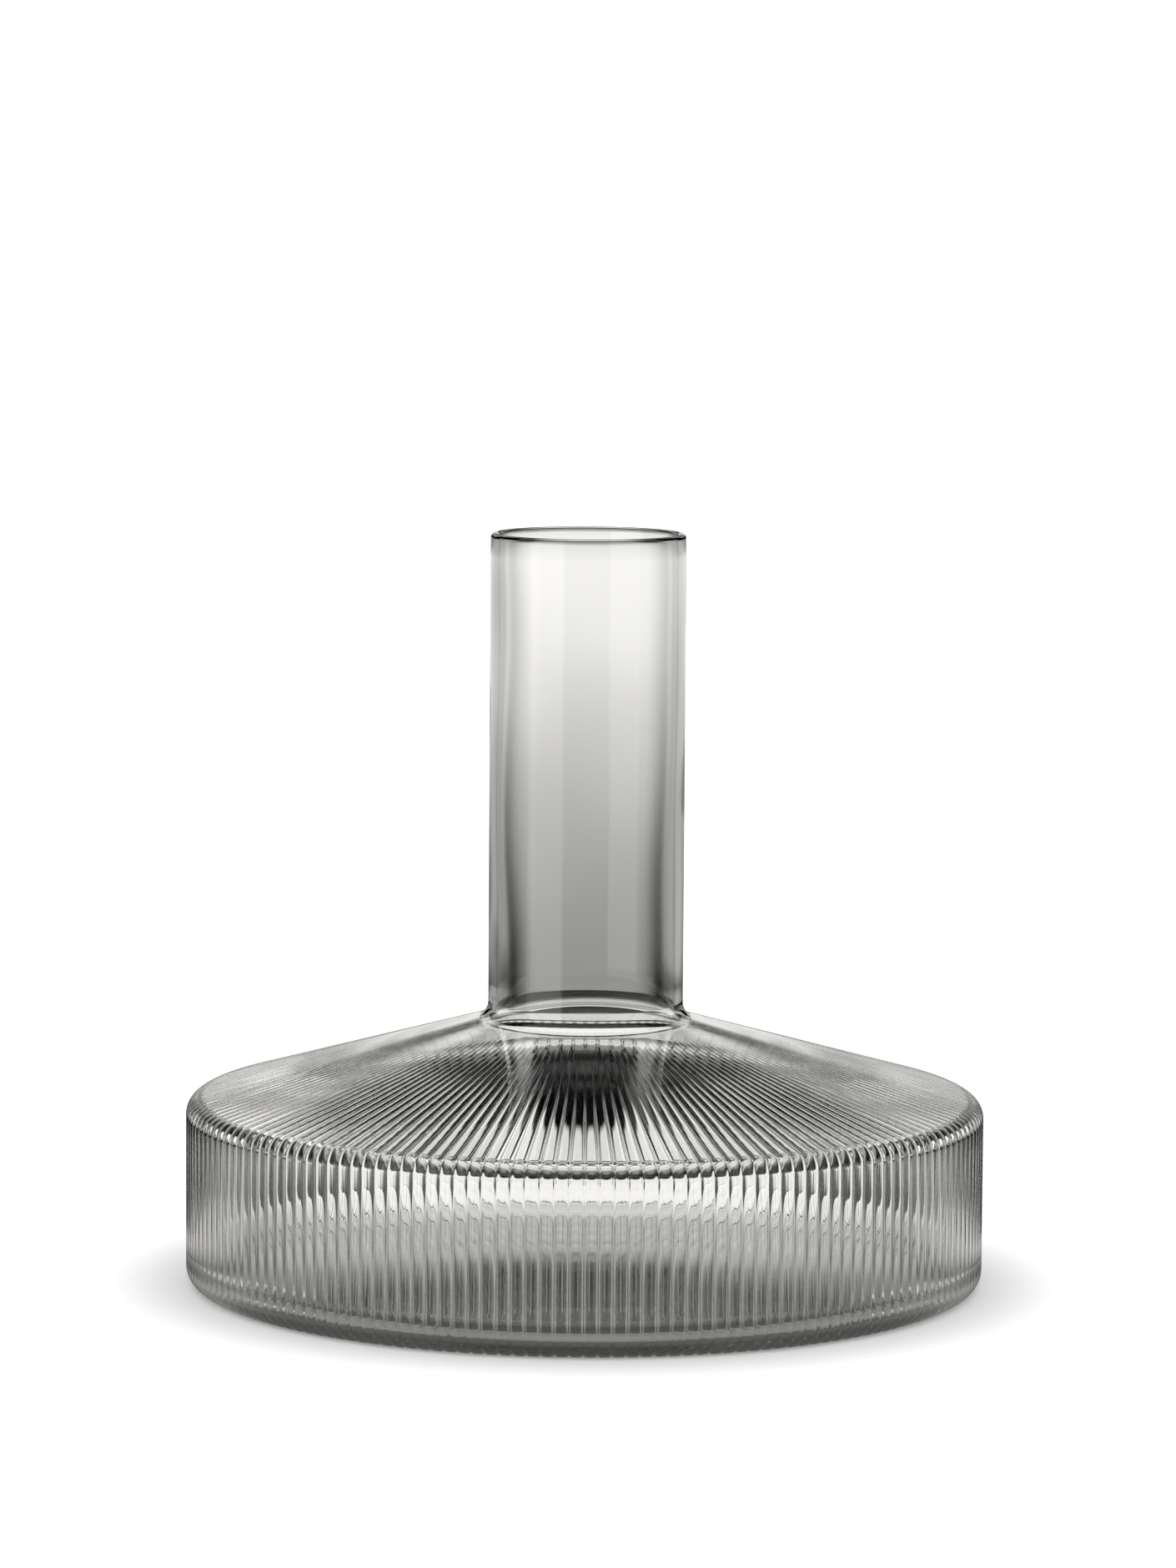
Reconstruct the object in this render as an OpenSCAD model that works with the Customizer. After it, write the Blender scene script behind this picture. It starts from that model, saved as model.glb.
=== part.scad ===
// Wine carafe of smoked glass: a plain upright neck on a wide, low vessel whose shoulder, side and
// heel are covered in fine ribs. The origin is the middle of its foot, on the table, and +Z is up.

/* [Overall] */
// Height from the table to the lip
overall_h = 188.5; // [172:0.5:205]
// Diameter of the vessel over the crests of its ribs
body_d = 200; // [184:0.5:216]

/* [Vessel] */
// Height at which the slope of the shoulder would meet the upright of the side
corner_h = 46.2; // [40:0.1:54]
// Slope of the shoulder below the level, in degrees
shoulder_slope = 15.9; // [13:0.1:19]
// Radius of the bend from the side to the shoulder
bend_r = 4.5; // [3.5:0.1:7]
// Radius of the heel, where the side turns under
heel_r = 4.5; // [3.5:0.1:6]
// Thickness of the side, measured at the crest of a rib
side_wall = 2.8; // [2.4:0.1:3.4]
// Thickness of the shoulder, measured at the crest of a rib
shoulder_wall = 2.4; // [2:0.1:3]
// Radius inside the bend between side and shoulder
inner_bend_r = 3; // [2:0.1:5]
// Upright stretch of the shoulder, from its bend down to where it meets the side
shoulder_skirt = 1; // [0.5:0.1:3]

/* [Ribs] */
// Number of ribs round the vessel
rib_count = 180; // [160:4:200]
// Depth of the grooves between the ribs of the side
rib_depth = 0.4; // [0.3:0.05:0.7]
// Diameter on the shoulder at which the ribs begin, to deepen evenly down to the bend
rib_start_d = 66; // [64:1:76]
// Length over which the grooves run out under the heel
rib_run_out = 4; // [3:0.5:6]

/* [Neck] */
// Outer diameter of the neck
neck_d = 48.8; // [45:0.1:52]
// Thickness of the neck
neck_wall = 2.2; // [1.8:0.1:2.6]
// Radius of the collar, where the neck flares into the shoulder
collar_r = 4.2; // [3:0.1:5]

/* [Base] */
// Thickness of the floor at its edge
floor_t = 3; // [2.5:0.1:4]
// How far the middle of the base is pushed up
kick_h = 2; // [1:0.1:3]
// Width of the flat ring under the base that the carafe stands on
foot_w = 14; // [8:0.5:20]
// Radius inside the corner between floor and side
inner_heel_r = 6; // [4:0.1:7]

/* [Hidden] */

smoke = [0.42, 0.43, 0.43, 0.55];
// Steps of a plain arc, of an arc in the ribbed pieces, and of the low domes of the base
arc_steps = 6;
rib_arc_steps = 4;
dome_steps = 8;
// Level floor between the corner inside the side and the edge of the base
floor_ledge = 0.5;
$fn = 360;

body_r = body_d / 2;
neck_r = neck_d / 2;
bore_r = neck_r - neck_wall;
rib_start_r = rib_start_d / 2;
side_inner_r = body_r - side_wall;
inner_collar_r = collar_r + neck_wall;

// Height of the shoulder's outer line at a radius, and of the line of its inside
function shoulder_z(r) = corner_h + (body_r - r) * tan(shoulder_slope);
function inner_shoulder_z(r) = shoulder_z(r) - shoulder_wall / cos(shoulder_slope);

// Square to the shoulder's line, outwards
out_of_shoulder = [sin(shoulder_slope), cos(shoulder_slope)];

// Centres of arcs, each a radius and a height. An arc that touches the shoulder's line has its
// centre this far straight under or over the point of the line at the centre's radius.
function off_line(arc_r) = arc_r / cos(shoulder_slope);
bend_c = [body_r - bend_r, shoulder_z(body_r - bend_r) - off_line(bend_r)];
inner_bend_c = [side_inner_r - inner_bend_r,
    inner_shoulder_z(side_inner_r - inner_bend_r) - off_line(inner_bend_r)];
collar_c = [neck_r + collar_r, shoulder_z(neck_r + collar_r) + off_line(collar_r)];
inner_collar_c = [bore_r + inner_collar_r,
    inner_shoulder_z(bore_r + inner_collar_r) + off_line(inner_collar_r)];
heel_c = [body_r - heel_r, heel_r];
inner_heel_c = [side_inner_r - inner_heel_r, floor_t + inner_heel_r];

// Where the pieces meet: neck and collar on a level, collar and shoulder square through the
// wall where the ribs begin, shoulder and side on a level, side and base on a cylinder
neck_foot_z = max(collar_c[1], inner_collar_c[1]);
rib_start = [rib_start_r, shoulder_z(rib_start_r)];
inner_rib_start = rib_start - shoulder_wall * out_of_shoulder;
side_top_z = min(bend_c[1], inner_bend_c[1]) - shoulder_skirt;
base_r = min(heel_c[0] - rib_run_out, inner_heel_c[0] - floor_ledge);
foot_inner_r = base_r - foot_w;

// Points along an arc of a profile
function arc(centre, radius, from, to, steps = arc_steps) =
    [for (i = [0:steps])
        let (a = from + (to - from) * i / steps)
        centre + radius * [cos(a), sin(a)]];

// Points of a low dome, from its middle, which is kick_h higher, out to its edge
function dome(edge_r, edge_z) =
    [for (i = [0:dome_steps])
        [edge_r * i / dome_steps, edge_z + kick_h * (1 - pow(i / dome_steps, 2))]];
function reversed(list) = [for (i = [len(list) - 1:-1:0]) list[i]];

// A ribbed piece is a loop of rings, and each ring is a crest point and a groove point.
// On a plain ring they are the same, and its straight sides touch its circle from outside, so
// that they clear a round piece within. A groove runs straight from one ring to the next, so on
// the shoulder it deepens evenly from where the ribs begin.
around = 2 * rib_count;
function plain_ring(p) = let (q = [p[0] / cos(180 / around), p[1]]) [q, q];
function plain_arc(centre, radius, from, to) =
    [for (p = arc(centre, radius, from, to, rib_arc_steps)) plain_ring(p)];
function ribbed_arc(centre, radius, from, to) =
    let (
        crests = arc(centre, radius, from, to, rib_arc_steps),
        grooves = arc(centre, radius - rib_depth, from, to, rib_arc_steps))
    [for (i = [0:rib_arc_steps]) [crests[i], grooves[i]]];
side_top_ring = [[body_r, side_top_z], [body_r - rib_depth, side_top_z]];

shoulder_rings = concat(
    [side_top_ring],
    ribbed_arc(bend_c, bend_r, 0, 90 - shoulder_slope),
    [plain_ring(rib_start), plain_ring(inner_rib_start)],
    plain_arc(inner_bend_c, inner_bend_r, 90 - shoulder_slope, 0),
    [plain_ring([side_inner_r, side_top_z])]);
side_rings = concat(
    [plain_ring([base_r, 0])],
    ribbed_arc(heel_c, heel_r, -90, 0),
    [side_top_ring, plain_ring([side_inner_r, side_top_z])],
    plain_arc(inner_heel_c, inner_heel_r, 0, -90),
    [plain_ring([base_r, floor_t])]);

// A closed piece whose skin runs from ring to ring, up the outside, down the inside and back to
// the first. Grooves and crests take turns round each ring, with a groove at the front.
module ribbed_piece(rings) {
    count = len(rings);
    points = [for (ring = rings, k = [0:around - 1])
        let (p = ring[(k + 1) % 2], a = -90 + 360 * k / around)
        [p[0] * cos(a), p[0] * sin(a), p[1]]];
    skin = [for (j = [0:count - 1], k = [0:around - 1])
        let (
            next_ring = (j + 1) % count * around,
            next_k = (k + 1) % around,
            a = j * around + k,
            b = j * around + next_k)
        each [[a, next_ring + next_k, b], [a, next_ring + k, next_ring + next_k]]];
    polyhedron(points, skin, convexity = 6);
}

// Plain upright tube with its lip melted round
module neck() {
    lip_r = neck_wall / 2;
    color(smoke) rotate_extrude() polygon(concat(
        [[bore_r, neck_foot_z], [neck_r, neck_foot_z]],
        arc([neck_r - lip_r, overall_h - lip_r], lip_r, 0, 180)));
}

// Smooth flare from the foot of the neck out to where the ribs begin
module collar() {
    color(smoke) rotate_extrude() polygon(concat(
        [inner_rib_start, rib_start],
        arc(collar_c, collar_r, 270 - shoulder_slope, 180),
        [[neck_r, neck_foot_z], [bore_r, neck_foot_z]],
        arc(inner_collar_c, inner_collar_r, 180, 270 - shoulder_slope)));
}

// Ribbed slope, with the bend down to the side
module shoulder() {
    color(smoke) ribbed_piece(shoulder_rings);
}

// Ribbed upright band, with the heel turned under
module side() {
    color(smoke) ribbed_piece(side_rings);
}

// Floor disc, level where it stands and pushed up in the middle
module base() {
    color(smoke) rotate_extrude() polygon(concat(
        dome(foot_inner_r, 0), [[base_r, 0]], reversed(dome(base_r, floor_t))));
}

neck();
collar();
shoulder();
side();
base();
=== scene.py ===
import math
import random

import bmesh
import bpy
from mathutils import Matrix


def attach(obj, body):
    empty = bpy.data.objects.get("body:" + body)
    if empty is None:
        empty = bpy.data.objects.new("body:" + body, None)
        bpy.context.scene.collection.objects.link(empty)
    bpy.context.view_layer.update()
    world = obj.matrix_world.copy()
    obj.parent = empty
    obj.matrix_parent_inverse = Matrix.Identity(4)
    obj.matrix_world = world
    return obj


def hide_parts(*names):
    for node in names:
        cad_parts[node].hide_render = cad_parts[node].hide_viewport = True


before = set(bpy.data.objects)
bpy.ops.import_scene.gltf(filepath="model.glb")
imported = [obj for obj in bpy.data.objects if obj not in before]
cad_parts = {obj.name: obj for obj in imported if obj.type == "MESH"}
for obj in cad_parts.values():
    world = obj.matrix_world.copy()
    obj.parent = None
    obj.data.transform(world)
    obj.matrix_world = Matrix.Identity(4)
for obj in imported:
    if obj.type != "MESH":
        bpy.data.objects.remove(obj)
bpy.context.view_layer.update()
mm = 0.001
hair = 0.001 * mm    # points closer than this are one
print("frame loaded")

# Camera of the photo, fitted to the outlines of the rim, neck, shoulder, side and foot
photoCamera = {
    "place": (0.25 * mm, -1505 * mm, 295 * mm),
    "pitchDown": 6.42,    # degrees below the level
    "roll": 0.388,        # degrees, the carafe leans to the right in the frame
    "lens": 139.2,        # mm
    "sensor": 36,         # mm, on the long side
    "near": 50 * mm,
    "far": 60,            # m
}


def addCamera(facts):
    data = bpy.data.cameras.new("photoCamera")
    data.lens = facts["lens"]
    data.sensor_width = facts["sensor"]
    data.clip_start = facts["near"]
    data.clip_end = facts["far"]
    cam = bpy.data.objects.new("photoCamera", data)
    bpy.context.scene.collection.objects.link(cam)
    tilt = Matrix.Rotation(math.radians(90 - facts["pitchDown"]), 4, "X")
    roll = Matrix.Rotation(math.radians(facts["roll"]), 4, "Z")
    cam.matrix_world = Matrix.Translation(facts["place"]) @ tilt @ roll
    bpy.context.scene.camera = cam


addCamera(photoCamera)
print("camera in place")

# The skin of the carafe, in mm and degrees: blown into a ribbed mould, lip melted round
carafe = {
    "height": 188.5,
    "bodyR": 100.0,
    "neckR": 24.4,
    "neckWall": 2.2,
    "collarR": 4.2,
    "slope": 15.9,          # of the shoulder, below the level
    "cornerZ": 46.2,        # where the slope would meet the upright side
    "bendR": 4.5,
    "heelR": 4.5,
    "sideWall": 2.8,
    "shoulderWall": 2.4,
    "innerBendR": 3.0,
    "innerHeelR": 6.0,
    "floor": 3.0,
    "kick": 2.0,            # how far the middle of the base is pushed up
    "footInR": 76.7,        # inside of the ring that it stands on
    "runOutR": 90.7,        # where the grooves have run out under the heel
    "ribs": 180,
    "columnsPerRib": 10,
    "plainColumns": 360,    # round the smooth parts
    "ownColumn": 1e-4,      # share of a rib that a groove's own column may stand before it
    "crowding": 0.4,        # how much closer the columns lie at a groove
    "groove": 0.4,          # depth between the ribs of the side
    "flatness": 5.0,        # 2 is a round back, and more is a flatter back and narrower grooves
    "roundness": 3.0,       # the same at the middle of a bend, where the backs are rounder
    "ribStartR": 33.0,      # the grooves deepen from here down to the bend
    "deepening": 3.0,       # 1 is evenly, and more is later
    "slopeRings": (86, 76, 66, 56, 45, 34),     # radii at which a groove takes its next depth
    "blend": 2.0,           # over which the ribbed columns give way to the plain ones
    "ledge": 1.0,           # level floor between the corner inside the side and the dome
    "hold": 0.4,            # from a bend to the ring that keeps the straight beside it true
    "heldFrom": 6.4,        # the shortest plain straight that gets such rings
    "depthSpread": 0.15,    # share by which the grooves differ in depth
    "placeSpread": 0.03,    # share of a rib by which they stand off their place
    "ribSeed": 11,
    "ribbedSteps": 8,       # lines that stand for an arc of the ribbed skin
    "plainSteps": 10,       # the same for a plain arc
    "innerBendSteps": 8,
    "floorSteps": 8,        # from the middle of the floor to its edge
    "footSteps": 6,         # the same under the base
    "boreRings": 24,
    "boreWave": 0.12,       # by which the bore swells and narrows, since only air shaped it
    "boreFrom": 66.0,       # height from which it does so, up to the next
    "boreTo": 182.5,
    "boreWaves": ((1, 2.3), (2, 3.1), (3, 1.7), (2, 5.2)),  # times round it, and times up it
    "boreSeed": 5,
}


def arcPoints(centre, radius, start, end, steps):
    turns = [math.radians(start + (end - start) * i / steps) for i in range(steps + 1)]
    return [(centre[0] + radius * math.cos(a), centre[1] + radius * math.sin(a)) for a in turns]


def held(points, hold, longest):
    # A point near each end of a long straight keeps the shading along it flat
    line = [points[0]]
    for p, q in zip(points, points[1:]):
        length = math.hypot(q[0] - p[0], q[1] - p[1])
        if length > longest:
            for share in (hold / length, 1 - hold / length):
                line.append((p[0] + (q[0] - p[0]) * share, p[1] + (q[1] - p[1]) * share))
        line.append(q)
    return line


def carafeLines(c):
    # The line of the ribbed skin, where each point has its groove's depth, the direction out of
    # the glass and the flatness of the rib, and two plain lines: over the neck and down the
    # inside to the floor, and under the base
    s = math.radians(c["slope"])

    def slopeZ(r):
        return c["cornerZ"] + (c["bodyR"] - r) * math.tan(s)

    def innerSlopeZ(r):
        return slopeZ(r) - c["shoulderWall"] / math.cos(s)

    def ribbedArc(centre, radius, start, end, steps):
        flats = [c["flatness"] + (c["roundness"] - c["flatness"]) * math.sin(math.pi * i / steps)
                 for i in range(steps + 1)]
        return [(r, z, c["groove"], (r - centre[0]) / radius, (z - centre[1]) / radius, flat)
                for (r, z), flat in zip(arcPoints(centre, radius, start, end, steps), flats)]

    def onSlope(r):
        share = (r - c["ribStartR"]) / (c["bodyR"] - c["bendR"] - c["ribStartR"])
        depth = c["groove"] * min(share, 1) ** c["deepening"]
        return (r, slopeZ(r), depth, math.sin(s), math.cos(s), c["flatness"])

    def dome(edgeR, edgeZ, steps):
        return [(edgeR * i / steps, edgeZ + c["kick"] * (1 - (i / steps) ** 2))
                for i in range(steps + 1)]

    hold = c["hold"]
    boreR = c["neckR"] - c["neckWall"]
    lipR = c["neckWall"] / 2
    sideInR = c["bodyR"] - c["sideWall"]
    innerCollarR = c["collarR"] + c["neckWall"]
    bend = (c["bodyR"] - c["bendR"], slopeZ(c["bodyR"] - c["bendR"]) - c["bendR"] / math.cos(s))
    heel = (c["bodyR"] - c["heelR"], c["heelR"])
    collar = (c["neckR"] + c["collarR"],
              slopeZ(c["neckR"] + c["collarR"]) + c["collarR"] / math.cos(s))
    innerBend = (sideInR - c["innerBendR"],
                 innerSlopeZ(sideInR - c["innerBendR"]) - c["innerBendR"] / math.cos(s))
    innerHeel = (sideInR - c["innerHeelR"], c["floor"] + c["innerHeelR"])
    innerCollar = (boreR + innerCollarR,
                   innerSlopeZ(boreR + innerCollarR) + innerCollarR / math.cos(s))

    ribLine = [(c["runOutR"], 0, 0, 0, -1, c["flatness"])]
    ribLine += ribbedArc(heel, c["heelR"], -90, 0, c["ribbedSteps"])
    ribLine += [(c["bodyR"], z, c["groove"], 1, 0, c["flatness"])
                for z in (heel[1] + hold, bend[1] - hold)]
    ribLine += ribbedArc(bend, c["bendR"], 0, 90 - c["slope"], c["ribbedSteps"])
    ribLine += [onSlope(r) for r in (ribLine[-1][0] - hold, *c["slopeRings"], c["ribStartR"])]

    plainStart = c["ribStartR"] - c["blend"]
    over = [(plainStart, slopeZ(plainStart))]
    over += arcPoints(collar, c["collarR"], 270 - c["slope"], 180, c["plainSteps"])
    over += arcPoints((c["neckR"] - lipR, c["height"] - lipR), lipR, 0, 180, c["plainSteps"])
    over += [(boreR, over[-1][1] + (innerCollar[1] - over[-1][1]) * i / c["boreRings"])
             for i in range(1, c["boreRings"])]
    over += arcPoints(innerCollar, innerCollarR, 180, 270 - c["slope"], c["plainSteps"])
    over += arcPoints(innerBend, c["innerBendR"], 90 - c["slope"], 0, c["innerBendSteps"])
    over += arcPoints(innerHeel, c["innerHeelR"], 0, -90, c["plainSteps"])
    over += reversed(dome(innerHeel[0] - c["ledge"], c["floor"], c["floorSteps"]))
    under = dome(c["footInR"], 0, c["footSteps"]) + [(c["runOutR"] - hold, 0)]
    return ribLine, held(over, hold, c["heldFrom"]), held(under, hold, c["heldFrom"])


def spinRound(bm, chain, columns):
    # A long spin is slow, so it goes only part of the way, and doubling it closes the circle
    doublings = 3
    turn = 2 * math.pi / 2 ** doublings
    edges = [bm.edges.new(pair) for pair in zip(chain, chain[1:])]
    bmesh.ops.spin(bm, geom=chain + edges, cent=(0, 0, 0), axis=(0, 0, 1), angle=turn,
                   steps=columns // 2 ** doublings)
    for i in range(doublings):
        copy = bmesh.ops.duplicate(bm, geom=bm.verts[:] + bm.edges[:] + bm.faces[:])["geom"]
        bmesh.ops.rotate(bm, cent=(0, 0, 0), matrix=Matrix.Rotation(turn * 2 ** i, 3, "Z"),
                         verts=[g for g in copy if isinstance(g, bmesh.types.BMVert)])
    bmesh.ops.remove_doubles(bm, verts=bm.verts, dist=hair)


def ribbedSkin(c, line):
    bm = bmesh.new()
    cut = bm.verts.layers.float_vector.new("cut")
    shape = bm.verts.layers.float.new("shape")
    chain = []
    for r, z, depth, outR, outZ, flat in line:
        v = bm.verts.new((r * mm, 0, z * mm))
        v[cut] = (depth * mm, outR, outZ)
        v[shape] = flat
        chain.append(v)
    spinRound(bm, chain, c["ribs"] * c["columnsPerRib"])
    pitch = 2 * math.pi / c["ribs"]
    draw = random.Random(c["ribSeed"])
    depths = [1 + c["depthSpread"] * draw.uniform(-1, 1) for i in range(c["ribs"])]
    places = [c["placeSpread"] * draw.uniform(-1, 1) for i in range(c["ribs"])]
    for v in bm.verts:
        depth, outR, outZ = v[cut]
        r = math.hypot(v.co.x, v.co.y)
        # Phase runs from 0 to 1 across a rib, from a groove to the next, with a groove at -Y
        phase = (math.atan2(v.co.y, v.co.x) + math.pi / 2) / pitch
        whole = math.floor(phase + c["ownColumn"])
        phase -= whole
        phase -= c["crowding"] * math.sin(2 * math.pi * phase) / (2 * math.pi)
        left, right = whole % c["ribs"], (whole + 1) % c["ribs"]
        offPlace = places[left] * (1 - phase) + places[right] * phase
        angle = (whole + phase + offPlace) * pitch - math.pi / 2
        nearest = depths[left] if phase < 0.5 else depths[right]
        cutDepth = depth * nearest * abs(2 * phase - 1) ** v[shape]
        r -= cutDepth * outR
        v.co = (r * math.cos(angle), r * math.sin(angle), v.co.z - cutDepth * outZ)
    bm.verts.layers.float_vector.remove(cut)
    bm.verts.layers.float.remove(shape)
    return bm


def plainSkin(c, line):
    bm = bmesh.new()
    spinRound(bm, [bm.verts.new((r * mm, 0, z * mm)) for r, z in line], c["plainColumns"])
    boreR = (c["neckR"] - c["neckWall"]) * mm
    low, high = c["boreFrom"] * mm, c["boreTo"] * mm
    draw = random.Random(c["boreSeed"])
    waves = [(turns, draw.uniform(0, 2 * math.pi), rise, draw.uniform(0, 2 * math.pi))
             for turns, rise in c["boreWaves"]]
    halfOfAll = len(waves) / 2
    for v in bm.verts:
        share = (v.co.z - low) / (high - low)
        if 0 < share < 1 and math.hypot(v.co.x, v.co.y) < boreR + hair:
            angle = math.atan2(v.co.y, v.co.x)
            swell = sum(math.sin(turns * angle + a) * math.sin(rise * math.pi * share + b)
                        for turns, a, rise, b in waves) / halfOfAll
            # It fades out towards both ends
            ends = math.sqrt(math.sin(math.pi * share))
            stretch = 1 + c["boreWave"] * mm * swell * ends / boreR
            v.co.x *= stretch
            v.co.y *= stretch
    return bm


def blowCarafe(c):
    ribLine, over, under = carafeLines(c)
    mesh = bpy.data.meshes.new("blownGlass")
    whole = bmesh.new()
    for skin in (ribbedSkin(c, ribLine), plainSkin(c, over), plainSkin(c, under)):
        skin.to_mesh(mesh)
        skin.free()
        whole.from_mesh(mesh)
    # The open rims lie in pairs: round the start of the ribs, and under the heel
    rims = [edge for edge in whole.edges if len(edge.link_faces) == 1]
    split = c["cornerZ"] * mm
    for pair in ([e for e in rims if e.verts[0].co.z > split],
                 [e for e in rims if e.verts[0].co.z < split]):
        bmesh.ops.bridge_loops(whole, edges=pair)
    bmesh.ops.recalc_face_normals(whole, faces=whole.faces)
    for face in whole.faces:
        face.smooth = True
    whole.to_mesh(mesh)
    whole.free()
    piece = bpy.data.objects.new("blown_glass", mesh)
    bpy.context.scene.collection.objects.link(piece)
    return piece


carafeGlass = blowCarafe(carafe)
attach(carafeGlass, "root")
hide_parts("neck", "collar", "shoulder", "side", "base")
print("glass blown,", len(carafeGlass.data.polygons), "faces")


def linear(hexColour):
    # sRGB hex to the linear colour that a shader wants
    parts = [int(hexColour[i:i + 2], 16) / 255 for i in (1, 3, 5)]
    return tuple(p / 12.92 if p <= 0.04045 else ((p + 0.055) / 1.055) ** 2.4 for p in parts) + (1,)


def addNode(tree, kind, settings=None, links=None):
    # settings: socket or property to value; links: socket to the output that feeds it
    node = tree.nodes.new(kind)
    for name, value in (settings or {}).items():
        if name in node.inputs:
            node.inputs[name].default_value = value
        else:
            setattr(node, name, value)
    for name, output in (links or {}).items():
        tree.links.new(output, node.inputs[name])
    return node


def newMaterial(name):
    material = bpy.data.materials.new(name)
    material.use_nodes = True
    material.node_tree.nodes.clear()
    return material, material.node_tree


# Soda-lime glass coloured smoke grey through and through, blown into a mould and fire-polished:
# clear, hard reflections, a grey that deepens with the length of glass looked through, and a
# skin that is a little uneven where it touched the mould.
smokedGlass = {
    "ior": 1.52,
    "smoke": "#c2c1bd",       # tint left after one depth of glass
    "depth": 65.0,            # mm of glass for that tint
    "waveSize": 30.0,         # mm between the slow waves of the skin
    "waveHeight": 0.02,       # mm
}


def makeSmokedGlass(facts):
    material, tree = newMaterial("mouldBlownSmokedGlass")
    place = addNode(tree, "ShaderNodeTexCoord")
    waves = addNode(tree, "ShaderNodeTexNoise",
                    {"Scale": 1 / (facts["waveSize"] * mm), "Detail": 1.0},
                    {"Vector": place.outputs["Object"]})
    bump = addNode(tree, "ShaderNodeBump",
                   {"Strength": 1.0, "Distance": facts["waveHeight"] * mm},
                   {"Height": waves.outputs["Fac"]})
    surface = addNode(tree, "ShaderNodeBsdfPrincipled",
                      {"Base Color": (1, 1, 1, 1), "Roughness": 0.0, "IOR": facts["ior"],
                       "Transmission Weight": 1.0},
                      {"Normal": bump.outputs["Normal"]})
    # Absorption takes (1 - colour) * density per metre
    inside = addNode(tree, "ShaderNodeVolumeAbsorption",
                     {"Color": linear(facts["smoke"]), "Density": 1 / (facts["depth"] * mm)})
    end = addNode(tree, "ShaderNodeOutputMaterial")
    tree.links.new(surface.outputs["BSDF"], end.inputs["Surface"])
    tree.links.new(inside.outputs["Volume"], end.inputs["Volume"])
    return material


carafeGlass.data.materials.append(makeSmokedGlass(smokedGlass))
print("glass coloured")

# The studio. The camera sees plain white, and the table keeps the shadow. The glass sees what
# stands round a product table: soft panels in a dark room, and the table with painted light and
# painted shade on it, which glows for the glass alone. Each is a window with soft edges in
# the turn from straight behind the carafe, in degrees to the right, and in its reach, which is
# the height above the table in degrees or, for what lies on the table, the distance in mm.
# Panels that overlap add up.
allRound = (-400, 400)
horizon = 90000
skyPanels = {
    # Straight behind the carafe, low down
    "panelBehind": {"turn": (-13, 13), "reach": (-4, 10.5), "soft": (1.5, 1.5), "strength": 0.85},
    # Mirrored in the shoulder, whose dark patch is the gap between left and right
    "boxBehindLeft": {"turn": (-32, -12.5), "reach": (25, 41), "soft": (0.8, 2), "strength": 1.55},
    "boxBehindRight": {"turn": (12.5, 32), "reach": (25, 41), "soft": (0.8, 2), "strength": 1.1},
    "midLeft": {"turn": (-32, -8.5), "reach": (19, 25), "soft": (1.5, 2), "strength": 0.9},
    "midRight": {"turn": (8.5, 32), "reach": (19, 25), "soft": (1.5, 2), "strength": 0.75},
    "flankLeft": {"turn": (-32, -13), "reach": (10, 19), "soft": (1.5, 3), "strength": 0.9},
    "flankRight": {"turn": (13, 32), "reach": (10, 19), "soft": (1.5, 3), "strength": 0.75},
    "highLeft": {"turn": (-30, -8.5), "reach": (41, 46), "soft": (1, 1), "strength": 1.5},
    "highRight": {"turn": (8.5, 30), "reach": (41, 46), "soft": (1, 1), "strength": 1.3},
    # Beside, in front and above
    "lowLeft": {"turn": (-90, -50), "reach": (-4, 12), "soft": (2, 2), "strength": 1.3},
    "lowRight": {"turn": (50, 90), "reach": (-4, 12), "soft": (2, 2), "strength": 1.5},
    "boxLeft": {"turn": (-151, -107), "reach": (-4, 37), "soft": (1.5, 3), "strength": 1.2},
    "boxRight": {"turn": (110, 151), "reach": (-4, 37), "soft": (4, 3), "strength": 0.5},
    "panelFront": {"turn": (-209, -151), "reach": (16, 37), "soft": (4, 3), "strength": 0.4},
    "panelAbove": {"turn": allRound, "reach": (54, 100), "soft": (1, 4), "strength": 1.1},
}
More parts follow.
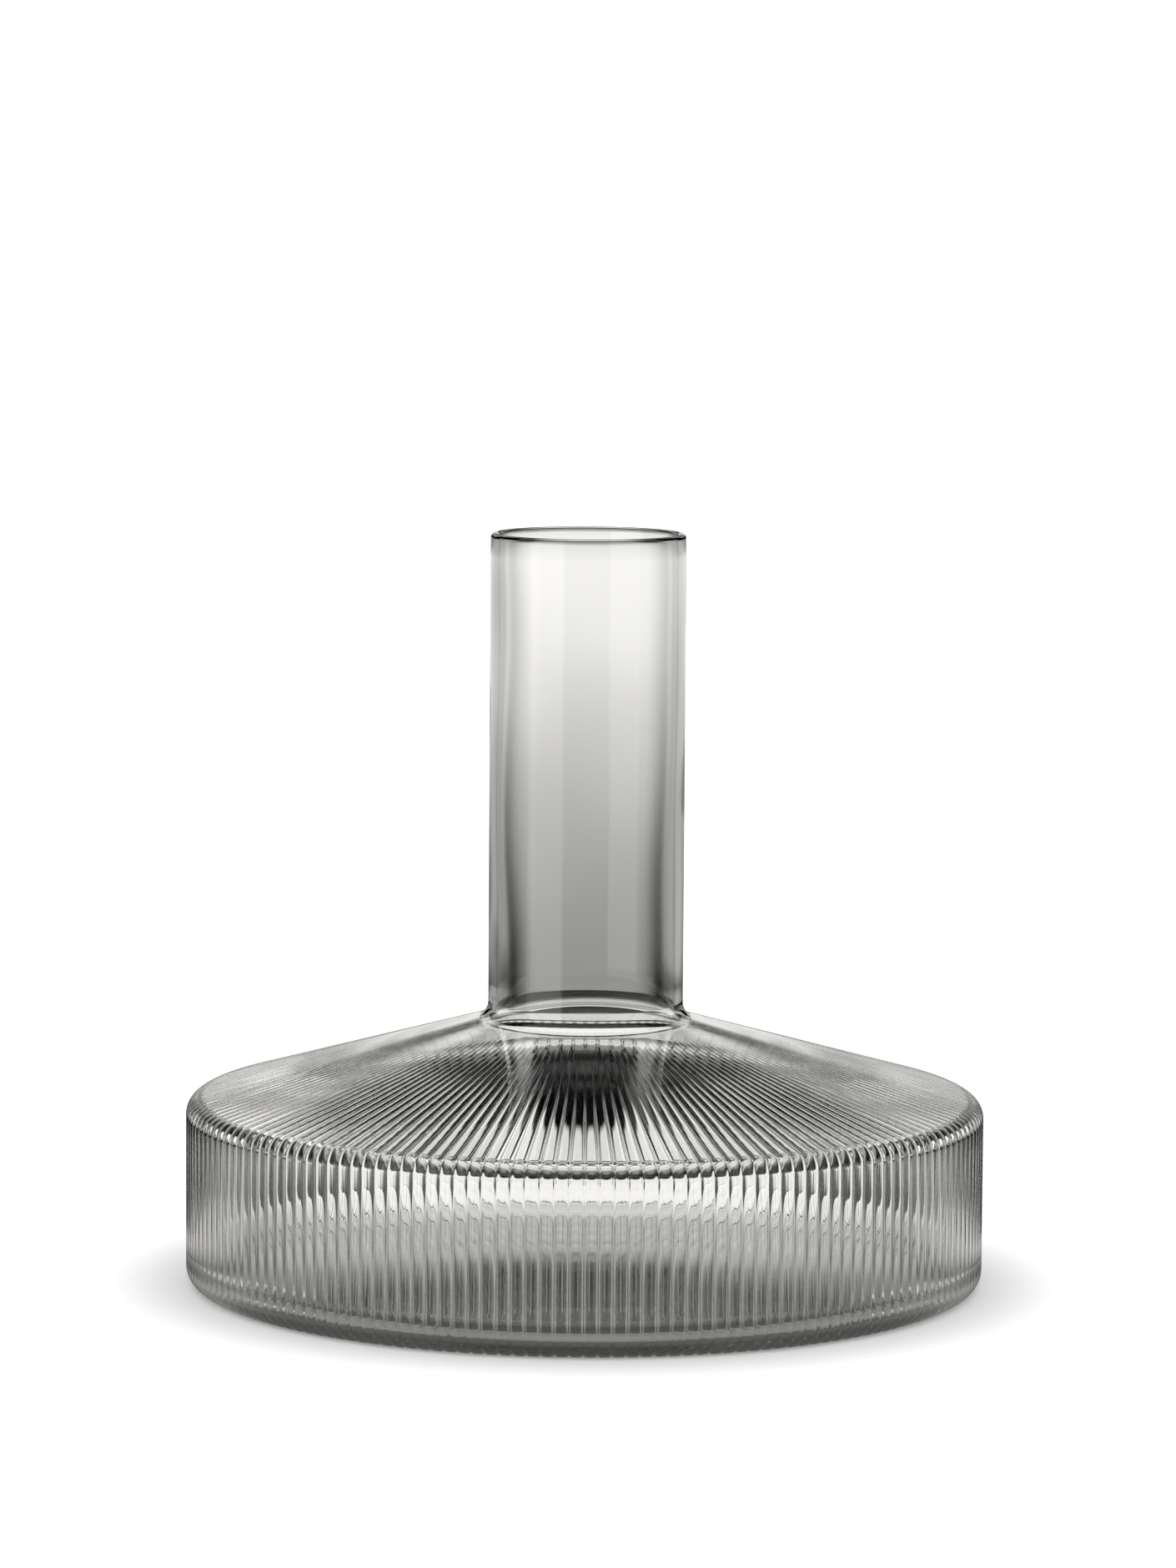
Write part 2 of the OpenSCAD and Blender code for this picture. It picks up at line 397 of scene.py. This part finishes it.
paintedTableLightAndShade = {
    # Painted light on the table beside and behind the foot
    "paintedLightRound": {"turn": (-60, 60), "reach": (92, 130), "soft": (30, 2), "strength": 1.05},
    "paintedLightBehind": {"turn": (-26, 26), "reach": (130, 219), "soft": (4, 8), "strength": 1.0},
    "paintedLightLeft": {"turn": (-92, -70), "reach": (130, 300), "soft": (2, 20), "strength": 0.6},
    "paintedLightRight": {"turn": (70, 92), "reach": (130, 300), "soft": (2, 20), "strength": 0.65},
    # Painted shadow under the carafe, where it shades the table, and painted light under its back
    # half
    "under": {"turn": allRound, "reach": (-50, 92), "soft": (1, 1), "strength": 0.07},
    "paintedLightUnderBehind": {"turn": (-105, 105), "reach": (30, 92), "soft": (25, 10), "strength": 0.35},
    # Painted light on the table farther off, behind and beside
    "sweepNear": {"turn": (-7.2, 7.2), "reach": (365, horizon), "soft": (3, 12), "strength": 0.3},
    "sweepFar": {"turn": (-16, 16), "reach": (1150, horizon), "soft": (5, 750), "strength": 0.5},
    "sweepRound": {"turn": (-110, 110), "reach": (1700, horizon), "soft": (5, 900), "strength": 0.25},
    "edgeLeft": {"turn": (-40, -18), "reach": (560, horizon), "soft": (4, 60), "strength": 0.15},
    "edgeRight": {"turn": (18, 40), "reach": (560, horizon), "soft": (4, 60), "strength": 0.23},
    "besideLeft": {"turn": (-110, -12.5), "reach": (560, horizon), "soft": (2, 60), "strength": 0.25},
    "besideRight": {"turn": (12.5, 110), "reach": (560, horizon), "soft": (2, 60), "strength": 0.25},
    "stripLeft": {"turn": (-151, -107), "reach": (300, horizon), "soft": (1.5, 60), "strength": 0.8},
    # Painted light on the table in front of the foot, with a painted contact shadow next to it
    "roomFront": {"turn": (-260, -100), "reach": (104, horizon), "soft": (15, 4), "strength": 0.28},
    "paintedContactShadow": {"turn": (-260, -100), "reach": (92, 104), "soft": (15, 1), "strength": 0.2},
    "paintedLightFront": {"turn": (-260, -100), "reach": (104, 128), "soft": (15, 2), "strength": 0.7},
}
studio = {
    "floorSize": 40.0,         # m
    "paper": "#f9f9f9",
    "panelColour": "#fffefa",  # of all that the glass sees
    "room": 1.0,               # plain light from all round, on the paper
    # Glow for the camera that whitens the paper, less beside the foot: painted shade round the foot
    "lift": 0.07,              # added to the paper beside the foot, for the camera alone
    "liftAway": 0.3,           # the same farther off, so that lit paper is white
    "liftFrom": (97, 128),     # mm from the axis, between which the one turns into the other
}


def addMath(tree, operation, *values):
    node = addNode(tree, "ShaderNodeMath", {"operation": operation})
    for socket, value in zip(node.inputs, values):
        if isinstance(value, bpy.types.NodeSocket):
            tree.links.new(value, socket)
        else:
            socket.default_value = value
    return node.outputs[0]


def window(tree, value, low, high, soft):
    # 1 between low and high, and half that at each of them
    sides = []
    for edge, start, end in ((low, 0, 1), (high, 1, 0)):
        ramp = addNode(tree, "ShaderNodeMapRange",
                       {"interpolation_type": "SMOOTHSTEP", "From Min": edge - soft,
                        "From Max": edge + soft, "To Min": start, "To Max": end},
                       {"Value": value})
        sides.append(ramp.outputs["Result"])
    return addMath(tree, "MULTIPLY", *sides)


def panelLight(tree, panels, turn, reach):
    total = 0.0
    for panel in panels.values():
        # A turn past half way round is met again from the other side
        across = window(tree, turn, *panel["turn"], panel["soft"][0])
        if panel["turn"][0] < -180:
            again = window(tree, addMath(tree, "SUBTRACT", turn, 360), *panel["turn"],
                           panel["soft"][0])
            across = addMath(tree, "MAXIMUM", across, again)
        lit = addMath(tree, "MULTIPLY", across,
                      window(tree, reach, *panel["reach"], panel["soft"][1]))
        total = addMath(tree, "MULTIPLY_ADD", lit, panel["strength"], total)
    return total


def turnFromBehind(tree, split):
    turn = addMath(tree, "ARCTAN2", split.outputs["X"], split.outputs["Y"])
    return addMath(tree, "MULTIPLY", turn, math.degrees(1))


def seenInGlass(tree, path):
    return addMath(tree, "MAXIMUM", path.outputs["Is Glossy Ray"],
                   path.outputs["Is Transmission Ray"])


# Matt white background paper, laid flat over the table. It takes the carafe's shadow for the camera,
# and for the glass it glows with the painted light and painted shade of the table map.
def addFloor(facts):
    bm = bmesh.new()
    bmesh.ops.create_grid(bm, x_segments=1, y_segments=1, size=facts["floorSize"] / 2)
    mesh = bpy.data.meshes.new("floor")
    bm.to_mesh(mesh)
    bm.free()
    floor = bpy.data.objects.new("floor", mesh)
    bpy.context.scene.collection.objects.link(floor)
    material, tree = newMaterial("paperTableWithPaintedLight")
    material.cycles.emission_sampling = "NONE"
    place = addNode(tree, "ShaderNodeTexCoord")
    split = addNode(tree, "ShaderNodeSeparateXYZ", links={"Vector": place.outputs["Object"]})
    away = addNode(tree, "ShaderNodeVectorMath", {"operation": "LENGTH"},
                   {"Vector": place.outputs["Object"]})
    distance = addMath(tree, "DIVIDE", away.outputs["Value"], mm)
    path = addNode(tree, "ShaderNodeLightPath")
    inGlass = seenInGlass(tree, path)
    # For the glass the paper glows with painted light and painted shade, dark under the carafe
    glow = addNode(tree, "ShaderNodeEmission", {"Color": linear(facts["panelColour"])}, {
        "Strength": panelLight(tree, paintedTableLightAndShade, turnFromBehind(tree, split), distance)})
    paper = addNode(tree, "ShaderNodeBsdfDiffuse", {"Color": linear(facts["paper"])})
    # For the camera a glow that whitens the paper, weaker beside the foot: painted shade round the
    # foot
    added = addNode(tree, "ShaderNodeMapRange",
                   {"interpolation_type": "SMOOTHSTEP", "From Min": facts["liftFrom"][0],
                    "From Max": facts["liftFrom"][1], "To Min": facts["lift"],
                    "To Max": facts["liftAway"]},
                   {"Value": distance})
    lift = addNode(tree, "ShaderNodeEmission", {}, {
        "Strength": addMath(tree, "MULTIPLY", path.outputs["Is Camera Ray"],
                            added.outputs["Result"])})
    seen = addNode(tree, "ShaderNodeAddShader")
    tree.links.new(paper.outputs["BSDF"], seen.inputs[0])
    tree.links.new(lift.outputs["Emission"], seen.inputs[1])
    pick = addNode(tree, "ShaderNodeMixShader", {}, {"Fac": inGlass})
    tree.links.new(seen.outputs["Shader"], pick.inputs[1])
    tree.links.new(glow.outputs["Emission"], pick.inputs[2])
    addNode(tree, "ShaderNodeOutputMaterial", {}, {"Surface": pick.outputs["Shader"]})
    floor.data.materials.append(material)


addFloor(studio)


def addWorld(facts):
    world = bpy.data.worlds.new("studioRoom")
    bpy.context.scene.world = world
    world.use_nodes = True
    tree = world.node_tree
    tree.nodes.clear()
    place = addNode(tree, "ShaderNodeTexCoord")
    split = addNode(tree, "ShaderNodeSeparateXYZ", links={"Vector": place.outputs["Generated"]})
    height = addMath(tree, "MULTIPLY", addMath(tree, "ARCSINE", split.outputs["Z"]),
                     math.degrees(1))
    path = addNode(tree, "ShaderNodeLightPath")
    panels = panelLight(tree, skyPanels, turnFromBehind(tree, split), height)
    # White for the camera, the panels for the glass, and plain light for the paper
    plain = addMath(tree, "MAXIMUM", path.outputs["Is Camera Ray"], facts["room"])
    air = addNode(tree, "ShaderNodeBackground", {"Color": (1, 1, 1, 1)}, {"Strength": plain})
    glow = addNode(tree, "ShaderNodeBackground", {"Color": linear(facts["panelColour"])},
                   {"Strength": panels})
    pick = addNode(tree, "ShaderNodeMixShader", {}, {"Fac": seenInGlass(tree, path)})
    tree.links.new(air.outputs["Background"], pick.inputs[1])
    tree.links.new(glow.outputs["Background"], pick.inputs[2])
    addNode(tree, "ShaderNodeOutputWorld", {}, {"Surface": pick.outputs["Shader"]})


addWorld(studio)
print("studio lit")

scene = bpy.context.scene
scene.view_settings.view_transform = "Standard"
# Light crosses the glass many times before it leaves
scene.cycles.max_bounces = 24
scene.cycles.transmission_bounces = 24
scene.cycles.glossy_bounces = 12
